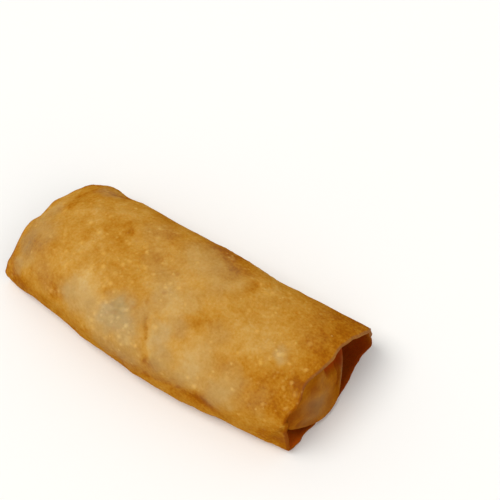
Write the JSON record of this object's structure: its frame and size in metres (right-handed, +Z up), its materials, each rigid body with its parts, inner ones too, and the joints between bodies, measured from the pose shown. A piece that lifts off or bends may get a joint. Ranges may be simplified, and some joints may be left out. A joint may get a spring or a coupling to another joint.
{
  "type": "fried spring roll",
  "caption": "Deep-fried spring roll: a thin golden wrapper rolled round a filled core, open pinched mouths at both ends, flat underside to rest on.",
  "frame": {"origin": "under the middle of the roll's box, on the surface it lies on", "axes": "+X along the roll to its wide mouth, +Y across it to the back, +Z up"},
  "size_m": [0.1022, 0.0478, 0.0259],
  "materials": {
    "fried_wrapper": "fried wheat wrapper, golden with browner patches, lightly oily",
    "tucked_skin": "soft translucent wrapper skin in the shade of the mouth"
  },
  "bodies": {
    "root": {"outer_wrapper": "fried_wrapper", "inner_roll": "tucked_skin"}
  },
  "joints": []
}
